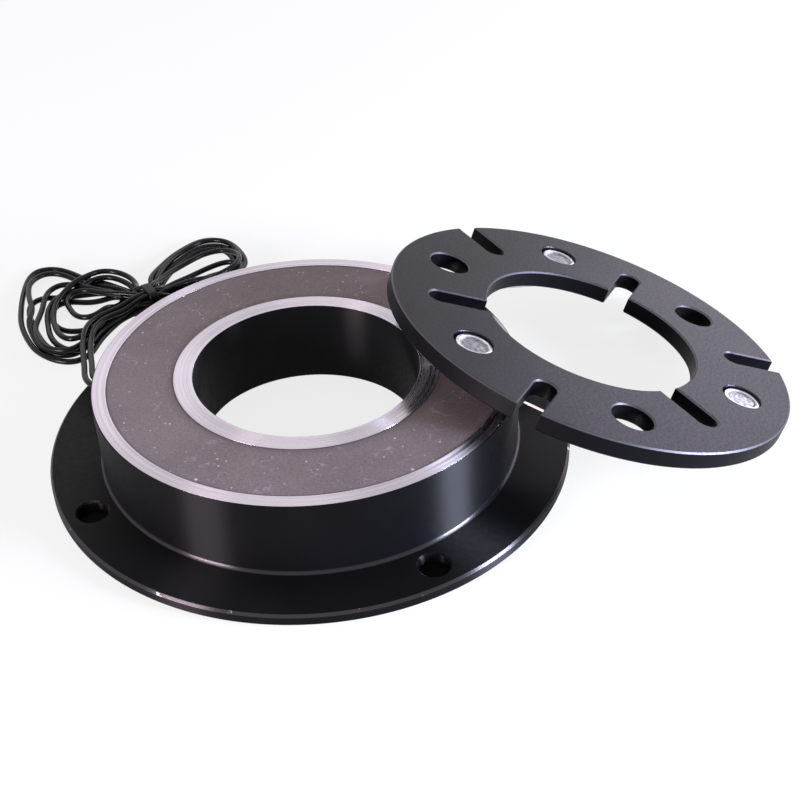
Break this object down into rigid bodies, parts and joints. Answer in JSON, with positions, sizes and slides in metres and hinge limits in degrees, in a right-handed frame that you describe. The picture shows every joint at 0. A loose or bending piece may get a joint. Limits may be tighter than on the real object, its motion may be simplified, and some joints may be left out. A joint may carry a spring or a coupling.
{
  "type": "flange-mounted electromagnetic brake",
  "caption": "Ring-shaped electromagnetic brake stator on a round flange, with tied lead wires and a loose slotted armature plate on leaf springs that leans on its rim.",
  "frame": {"origin": "centre of the bore on the flange's mounting face, which is the centre of the mounting holes' circle", "axes": "+Z along the bore from the mounting face to the pole faces; the mounting holes lie at 45 degrees to X and Y, and the leads come out towards -X"},
  "size_m": [0.2167, 0.1492, 0.0362],
  "materials": {
    "yoke": "glossy black oxide, machined pole rings bare",
    "bobbin": "natural moulded",
    "winding": "enamelled copper wire",
    "tape": "thin film tape",
    "resin": "cast resin",
    "lining": "ground friction lining with pale grains",
    "grommet": "moulded rubber",
    "lead": "glossy insulation",
    "tie": "moulded nylon",
    "tinned_wire": "tinned strands",
    "plate": "satin dark oxide",
    "spring": "rolled spring steel",
    "spacer": "turned steel",
    "rivet": "bright, flattened by the riveting tool"
  },
  "bodies": {
    "root": {"yoke": "yoke", "coil_bobbin": "bobbin", "coil_winding": "winding", "coil_tape": "tape", "potting_resin": "resin", "friction_lining": "lining", "lead_grommet": "grommet", "lead_tails": "lead", "lead_a": "lead", "lead_b": "lead", "lead_hank": "lead", "lead_tie": "tie", "bare_end_a": "tinned_wire", "bare_end_b": "tinned_wire", "armature_plate": "plate", "leaf_spring_1": "spring", "spring_spacer_1": "spacer", "rivet_1": "rivet", "leaf_spring_2": "spring", "spring_spacer_2": "spacer", "rivet_2": "rivet", "leaf_spring_3": "spring", "spring_spacer_3": "spacer", "rivet_3": "rivet"}
  },
  "joints": []
}
